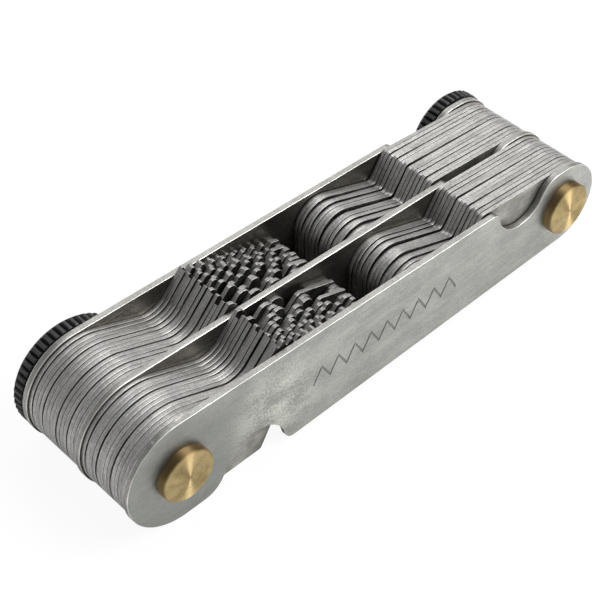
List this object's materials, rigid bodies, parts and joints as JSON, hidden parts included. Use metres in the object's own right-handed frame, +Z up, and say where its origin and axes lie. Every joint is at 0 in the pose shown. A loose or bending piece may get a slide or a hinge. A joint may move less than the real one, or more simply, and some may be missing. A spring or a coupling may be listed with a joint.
{
  "type": "screw pitch gauge",
  "caption": "Folding screw-pitch gauge: toothed steel blades fanned on two brass pivot screws in a three-plate open steel case, with knurled thumb nuts at the rear.",
  "frame": {"origin": "middle of the base, under the centre of the gauge's outer box, closed", "axes": "+X from the wide end to the narrow end, +Y from the front plate to the thumb nuts, +Z up"},
  "size_m": [0.0754, 0.0224, 0.0157],
  "materials": {
    "case_steel": "brushed",
    "blade_steel": "cross-ground edges",
    "brass": "turned, dull",
    "black_nut": "black, straight knurled"
  },
  "bodies": {
    "case": {"front_plate": "case_steel", "middle_plate": "case_steel", "rear_plate": "case_steel", "wide_end_screw": "brass", "narrow_end_screw": "brass"},
    "metric_blade_0_25_mm": {"metric_blade_0_25_mm": "blade_steel"},
    "metric_blade_0_30_mm": {"metric_blade_0_30_mm": "blade_steel"},
    "metric_blade_0_35_mm": {"metric_blade_0_35_mm": "blade_steel"},
    "metric_blade_0_40_mm": {"metric_blade_0_40_mm": "blade_steel"},
    "metric_blade_0_45_mm": {"metric_blade_0_45_mm": "blade_steel"},
    "metric_blade_0_50_mm": {"metric_blade_0_50_mm": "blade_steel"},
    "metric_blade_0_60_mm": {"metric_blade_0_60_mm": "blade_steel"},
    "metric_blade_0_70_mm": {"metric_blade_0_70_mm": "blade_steel"},
    "metric_blade_0_75_mm": {"metric_blade_0_75_mm": "blade_steel"},
    "metric_blade_0_80_mm": {"metric_blade_0_80_mm": "blade_steel"},
    "metric_blade_0_90_mm": {"metric_blade_0_90_mm": "blade_steel"},
    "metric_blade_1_00_mm": {"metric_blade_1_00_mm": "blade_steel"},
    "metric_blade_1_25_mm": {"metric_blade_1_25_mm": "blade_steel"},
    "metric_blade_1_50_mm": {"metric_blade_1_50_mm": "blade_steel"},
    "metric_blade_1_75_mm": {"metric_blade_1_75_mm": "blade_steel"},
    "metric_blade_2_00_mm": {"metric_blade_2_00_mm": "blade_steel"},
    "metric_blade_2_50_mm": {"metric_blade_2_50_mm": "blade_steel"},
    "metric_blade_3_00_mm": {"metric_blade_3_00_mm": "blade_steel"},
    "metric_blade_3_50_mm": {"metric_blade_3_50_mm": "blade_steel"},
    "metric_blade_4_00_mm": {"metric_blade_4_00_mm": "blade_steel"},
    "metric_blade_4_50_mm": {"metric_blade_4_50_mm": "blade_steel"},
    "metric_blade_5_00_mm": {"metric_blade_5_00_mm": "blade_steel"},
    "metric_blade_5_50_mm": {"metric_blade_5_50_mm": "blade_steel"},
    "metric_blade_6_00_mm": {"metric_blade_6_00_mm": "blade_steel"},
    "whitworth_blade_04_0_tpi": {"whitworth_blade_04_0_tpi": "blade_steel"},
    "whitworth_blade_04_5_tpi": {"whitworth_blade_04_5_tpi": "blade_steel"},
    "whitworth_blade_05_0_tpi": {"whitworth_blade_05_0_tpi": "blade_steel"},
    "whitworth_blade_06_0_tpi": {"whitworth_blade_06_0_tpi": "blade_steel"},
    "whitworth_blade_07_0_tpi": {"whitworth_blade_07_0_tpi": "blade_steel"},
    "whitworth_blade_08_0_tpi": {"whitworth_blade_08_0_tpi": "blade_steel"},
    "whitworth_blade_09_0_tpi": {"whitworth_blade_09_0_tpi": "blade_steel"},
    "whitworth_blade_10_0_tpi": {"whitworth_blade_10_0_tpi": "blade_steel"},
    "whitworth_blade_11_0_tpi": {"whitworth_blade_11_0_tpi": "blade_steel"},
    "whitworth_blade_12_0_tpi": {"whitworth_blade_12_0_tpi": "blade_steel"},
    "whitworth_blade_13_0_tpi": {"whitworth_blade_13_0_tpi": "blade_steel"},
    "whitworth_blade_14_0_tpi": {"whitworth_blade_14_0_tpi": "blade_steel"},
    "whitworth_blade_16_0_tpi": {"whitworth_blade_16_0_tpi": "blade_steel"},
    "whitworth_blade_18_0_tpi": {"whitworth_blade_18_0_tpi": "blade_steel"},
    "whitworth_blade_19_0_tpi": {"whitworth_blade_19_0_tpi": "blade_steel"},
    "whitworth_blade_20_0_tpi": {"whitworth_blade_20_0_tpi": "blade_steel"},
    "whitworth_blade_22_0_tpi": {"whitworth_blade_22_0_tpi": "blade_steel"},
    "whitworth_blade_24_0_tpi": {"whitworth_blade_24_0_tpi": "blade_steel"},
    "whitworth_blade_25_0_tpi": {"whitworth_blade_25_0_tpi": "blade_steel"},
    "whitworth_blade_26_0_tpi": {"whitworth_blade_26_0_tpi": "blade_steel"},
    "whitworth_blade_28_0_tpi": {"whitworth_blade_28_0_tpi": "blade_steel"},
    "whitworth_blade_30_0_tpi": {"whitworth_blade_30_0_tpi": "blade_steel"},
    "whitworth_blade_32_0_tpi": {"whitworth_blade_32_0_tpi": "blade_steel"},
    "whitworth_blade_36_0_tpi": {"whitworth_blade_36_0_tpi": "blade_steel"},
    "whitworth_blade_40_0_tpi": {"whitworth_blade_40_0_tpi": "blade_steel"},
    "whitworth_blade_48_0_tpi": {"whitworth_blade_48_0_tpi": "blade_steel"},
    "whitworth_blade_60_0_tpi": {"whitworth_blade_60_0_tpi": "blade_steel"},
    "whitworth_blade_62_0_tpi": {"whitworth_blade_62_0_tpi": "blade_steel"},
    "wide_end_thumb_nut": {"wide_end_thumb_nut": "black_nut"},
    "narrow_end_thumb_nut": {"narrow_end_thumb_nut": "black_nut"}
  },
  "joints": [
    {"name": "metric_blade_0_25_mm_swing", "type": "hinge", "parent": "case", "child": "metric_blade_0_25_mm", "pos_m": [0.03177, -0.0086, 0.0075], "axis": [0, -1, 0], "range_deg": [0, 180]},
    {"name": "metric_blade_0_30_mm_swing", "type": "hinge", "parent": "case", "child": "metric_blade_0_30_mm", "pos_m": [0.03177, -0.008, 0.0075], "axis": [0, -1, 0], "range_deg": [0, 180]},
    {"name": "metric_blade_0_35_mm_swing", "type": "hinge", "parent": "case", "child": "metric_blade_0_35_mm", "pos_m": [0.03177, -0.00741, 0.0075], "axis": [0, -1, 0], "range_deg": [0, 180]},
    {"name": "metric_blade_0_40_mm_swing", "type": "hinge", "parent": "case", "child": "metric_blade_0_40_mm", "pos_m": [0.03177, -0.00673, 0.0075], "axis": [0, -1, 0], "range_deg": [0, 180]},
    {"name": "metric_blade_0_45_mm_swing", "type": "hinge", "parent": "case", "child": "metric_blade_0_45_mm", "pos_m": [0.03177, -0.00613, 0.0075], "axis": [0, -1, 0], "range_deg": [0, 180]},
    {"name": "metric_blade_0_50_mm_swing", "type": "hinge", "parent": "case", "child": "metric_blade_0_50_mm", "pos_m": [0.03177, -0.00554, 0.0075], "axis": [0, -1, 0], "range_deg": [0, 180]},
    {"name": "metric_blade_0_60_mm_swing", "type": "hinge", "parent": "case", "child": "metric_blade_0_60_mm", "pos_m": [0.03177, -0.00493, 0.0075], "axis": [0, -1, 0], "range_deg": [0, 180]},
    {"name": "metric_blade_0_70_mm_swing", "type": "hinge", "parent": "case", "child": "metric_blade_0_70_mm", "pos_m": [0.03177, -0.00425, 0.0075], "axis": [0, -1, 0], "range_deg": [0, 180]},
    {"name": "metric_blade_0_75_mm_swing", "type": "hinge", "parent": "case", "child": "metric_blade_0_75_mm", "pos_m": [0.03177, -0.00366, 0.0075], "axis": [0, -1, 0], "range_deg": [0, 180]},
    {"name": "metric_blade_0_80_mm_swing", "type": "hinge", "parent": "case", "child": "metric_blade_0_80_mm", "pos_m": [0.03177, -0.00306, 0.0075], "axis": [0, -1, 0], "range_deg": [0, 180]},
    {"name": "metric_blade_0_90_mm_swing", "type": "hinge", "parent": "case", "child": "metric_blade_0_90_mm", "pos_m": [0.03177, -0.00245, 0.0075], "axis": [0, -1, 0], "range_deg": [0, 180]},
    {"name": "metric_blade_1_00_mm_swing", "type": "hinge", "parent": "case", "child": "metric_blade_1_00_mm", "pos_m": [0.03177, -0.00178, 0.0075], "axis": [0, -1, 0], "range_deg": [0, 180]},
    {"name": "metric_blade_1_25_mm_swing", "type": "hinge", "parent": "case", "child": "metric_blade_1_25_mm", "pos_m": [-0.03022, -0.00853, 0.0075], "axis": [0, -1, 0], "range_deg": [0, 180]},
    {"name": "metric_blade_1_50_mm_swing", "type": "hinge", "parent": "case", "child": "metric_blade_1_50_mm", "pos_m": [-0.03022, -0.00798, 0.0075], "axis": [0, -1, 0], "range_deg": [0, 180]},
    {"name": "metric_blade_1_75_mm_swing", "type": "hinge", "parent": "case", "child": "metric_blade_1_75_mm", "pos_m": [-0.03022, -0.00738, 0.0075], "axis": [0, -1, 0], "range_deg": [0, 180]},
    {"name": "metric_blade_2_00_mm_swing", "type": "hinge", "parent": "case", "child": "metric_blade_2_00_mm", "pos_m": [-0.03022, -0.00681, 0.0075], "axis": [0, -1, 0], "range_deg": [0, 180]},
    {"name": "metric_blade_2_50_mm_swing", "type": "hinge", "parent": "case", "child": "metric_blade_2_50_mm", "pos_m": [-0.03022, -0.00608, 0.0075], "axis": [0, -1, 0], "range_deg": [0, 180]},
    {"name": "metric_blade_3_00_mm_swing", "type": "hinge", "parent": "case", "child": "metric_blade_3_00_mm", "pos_m": [-0.03022, -0.00549, 0.0075], "axis": [0, -1, 0], "range_deg": [0, 180]},
    {"name": "metric_blade_3_50_mm_swing", "type": "hinge", "parent": "case", "child": "metric_blade_3_50_mm", "pos_m": [-0.03022, -0.00491, 0.0075], "axis": [0, -1, 0], "range_deg": [0, 180]},
    {"name": "metric_blade_4_00_mm_swing", "type": "hinge", "parent": "case", "child": "metric_blade_4_00_mm", "pos_m": [-0.03022, -0.00437, 0.0075], "axis": [0, -1, 0], "range_deg": [0, 180]},
    {"name": "metric_blade_4_50_mm_swing", "type": "hinge", "parent": "case", "child": "metric_blade_4_50_mm", "pos_m": [-0.03022, -0.00361, 0.0075], "axis": [0, -1, 0], "range_deg": [0, 180]},
    {"name": "metric_blade_5_00_mm_swing", "type": "hinge", "parent": "case", "child": "metric_blade_5_00_mm", "pos_m": [-0.03022, -0.00301, 0.0075], "axis": [0, -1, 0], "range_deg": [0, 180]},
    {"name": "metric_blade_5_50_mm_swing", "type": "hinge", "parent": "case", "child": "metric_blade_5_50_mm", "pos_m": [-0.03022, -0.00247, 0.0075], "axis": [0, -1, 0], "range_deg": [0, 180]},
    {"name": "metric_blade_6_00_mm_swing", "type": "hinge", "parent": "case", "child": "metric_blade_6_00_mm", "pos_m": [-0.03022, -0.00172, 0.0075], "axis": [0, -1, 0], "range_deg": [0, 180]},
    {"name": "whitworth_blade_04_0_tpi_swing", "type": "hinge", "parent": "case", "child": "whitworth_blade_04_0_tpi", "pos_m": [-0.03022, -0.00028, 0.0075], "axis": [0, -1, 0], "range_deg": [0, 180]},
    {"name": "whitworth_blade_04_5_tpi_swing", "type": "hinge", "parent": "case", "child": "whitworth_blade_04_5_tpi", "pos_m": [-0.03022, 0.00031, 0.0075], "axis": [0, -1, 0], "range_deg": [0, 180]},
    {"name": "whitworth_blade_05_0_tpi_swing", "type": "hinge", "parent": "case", "child": "whitworth_blade_05_0_tpi", "pos_m": [-0.03022, 0.00089, 0.0075], "axis": [0, -1, 0], "range_deg": [0, 180]},
    {"name": "whitworth_blade_06_0_tpi_swing", "type": "hinge", "parent": "case", "child": "whitworth_blade_06_0_tpi", "pos_m": [-0.03022, 0.00162, 0.0075], "axis": [0, -1, 0], "range_deg": [0, 180]},
    {"name": "whitworth_blade_07_0_tpi_swing", "type": "hinge", "parent": "case", "child": "whitworth_blade_07_0_tpi", "pos_m": [-0.03022, 0.0022, 0.0075], "axis": [0, -1, 0], "range_deg": [0, 180]},
    {"name": "whitworth_blade_08_0_tpi_swing", "type": "hinge", "parent": "case", "child": "whitworth_blade_08_0_tpi", "pos_m": [-0.03022, 0.00279, 0.0075], "axis": [0, -1, 0], "range_deg": [0, 180]},
    {"name": "whitworth_blade_09_0_tpi_swing", "type": "hinge", "parent": "case", "child": "whitworth_blade_09_0_tpi", "pos_m": [-0.03022, 0.00352, 0.0075], "axis": [0, -1, 0], "range_deg": [0, 180]},
    {"name": "whitworth_blade_10_0_tpi_swing", "type": "hinge", "parent": "case", "child": "whitworth_blade_10_0_tpi", "pos_m": [-0.03022, 0.00409, 0.0075], "axis": [0, -1, 0], "range_deg": [0, 180]},
    {"name": "whitworth_blade_11_0_tpi_swing", "type": "hinge", "parent": "case", "child": "whitworth_blade_11_0_tpi", "pos_m": [-0.03022, 0.00468, 0.0075], "axis": [0, -1, 0], "range_deg": [0, 180]},
    {"name": "whitworth_blade_12_0_tpi_swing", "type": "hinge", "parent": "case", "child": "whitworth_blade_12_0_tpi", "pos_m": [-0.03022, 0.00524, 0.0075], "axis": [0, -1, 0], "range_deg": [0, 180]},
    {"name": "whitworth_blade_13_0_tpi_swing", "type": "hinge", "parent": "case", "child": "whitworth_blade_13_0_tpi", "pos_m": [-0.03022, 0.00598, 0.0075], "axis": [0, -1, 0], "range_deg": [0, 180]},
    {"name": "whitworth_blade_14_0_tpi_swing", "type": "hinge", "parent": "case", "child": "whitworth_blade_14_0_tpi", "pos_m": [-0.03022, 0.00657, 0.0075], "axis": [0, -1, 0], "range_deg": [0, 180]},
    {"name": "whitworth_blade_16_0_tpi_swing", "type": "hinge", "parent": "case", "child": "whitworth_blade_16_0_tpi", "pos_m": [-0.03022, 0.00715, 0.0075], "axis": [0, -1, 0], "range_deg": [0, 180]},
    {"name": "whitworth_blade_18_0_tpi_swing", "type": "hinge", "parent": "case", "child": "whitworth_blade_18_0_tpi", "pos_m": [-0.03022, 0.00788, 0.0075], "axis": [0, -1, 0], "range_deg": [0, 180]},
    {"name": "whitworth_blade_19_0_tpi_swing", "type": "hinge", "parent": "case", "child": "whitworth_blade_19_0_tpi", "pos_m": [0.03177, -0.00025, 0.0075], "axis": [0, -1, 0], "range_deg": [0, 180]},
    {"name": "whitworth_blade_20_0_tpi_swing", "type": "hinge", "parent": "case", "child": "whitworth_blade_20_0_tpi", "pos_m": [0.03177, 0.00036, 0.0075], "axis": [0, -1, 0], "range_deg": [0, 180]},
    {"name": "whitworth_blade_22_0_tpi_swing", "type": "hinge", "parent": "case", "child": "whitworth_blade_22_0_tpi", "pos_m": [0.03177, 0.00095, 0.0075], "axis": [0, -1, 0], "range_deg": [0, 180]},
    {"name": "whitworth_blade_24_0_tpi_swing", "type": "hinge", "parent": "case", "child": "whitworth_blade_24_0_tpi", "pos_m": [0.03177, 0.00162, 0.0075], "axis": [0, -1, 0], "range_deg": [0, 180]},
    {"name": "whitworth_blade_25_0_tpi_swing", "type": "hinge", "parent": "case", "child": "whitworth_blade_25_0_tpi", "pos_m": [0.03177, 0.00223, 0.0075], "axis": [0, -1, 0], "range_deg": [0, 180]},
    {"name": "whitworth_blade_26_0_tpi_swing", "type": "hinge", "parent": "case", "child": "whitworth_blade_26_0_tpi", "pos_m": [0.03177, 0.00283, 0.0075], "axis": [0, -1, 0], "range_deg": [0, 180]},
    {"name": "whitworth_blade_28_0_tpi_swing", "type": "hinge", "parent": "case", "child": "whitworth_blade_28_0_tpi", "pos_m": [0.03177, 0.00342, 0.0075], "axis": [0, -1, 0], "range_deg": [0, 180]},
    {"name": "whitworth_blade_30_0_tpi_swing", "type": "hinge", "parent": "case", "child": "whitworth_blade_30_0_tpi", "pos_m": [0.03177, 0.00411, 0.0075], "axis": [0, -1, 0], "range_deg": [0, 180]},
    {"name": "whitworth_blade_32_0_tpi_swing", "type": "hinge", "parent": "case", "child": "whitworth_blade_32_0_tpi", "pos_m": [0.03177, 0.0047, 0.0075], "axis": [0, -1, 0], "range_deg": [0, 180]},
    {"name": "whitworth_blade_36_0_tpi_swing", "type": "hinge", "parent": "case", "child": "whitworth_blade_36_0_tpi", "pos_m": [0.03177, 0.00529, 0.0075], "axis": [0, -1, 0], "range_deg": [0, 180]},
    {"name": "whitworth_blade_40_0_tpi_swing", "type": "hinge", "parent": "case", "child": "whitworth_blade_40_0_tpi", "pos_m": [0.03177, 0.0059, 0.0075], "axis": [0, -1, 0], "range_deg": [0, 180]},
    {"name": "whitworth_blade_48_0_tpi_swing", "type": "hinge", "parent": "case", "child": "whitworth_blade_48_0_tpi", "pos_m": [0.03177, 0.00658, 0.0075], "axis": [0, -1, 0], "range_deg": [0, 180]},
    {"name": "whitworth_blade_60_0_tpi_swing", "type": "hinge", "parent": "case", "child": "whitworth_blade_60_0_tpi", "pos_m": [0.03177, 0.00717, 0.0075], "axis": [0, -1, 0], "range_deg": [0, 180]},
    {"name": "whitworth_blade_62_0_tpi_swing", "type": "hinge", "parent": "case", "child": "whitworth_blade_62_0_tpi", "pos_m": [0.03177, 0.00777, 0.0075], "axis": [0, -1, 0], "range_deg": [0, 180]},
    {"name": "wide_end_thumb_nut_turn", "type": "hinge", "parent": "case", "child": "wide_end_thumb_nut", "pos_m": [-0.03022, 0.01009, 0.0075], "axis": [0, 1, 0], "range_deg": [0, 270]},
    {"name": "narrow_end_thumb_nut_turn", "type": "hinge", "parent": "case", "child": "narrow_end_thumb_nut", "pos_m": [0.03177, 0.01009, 0.0075], "axis": [0, 1, 0], "range_deg": [0, 270]}
  ]
}
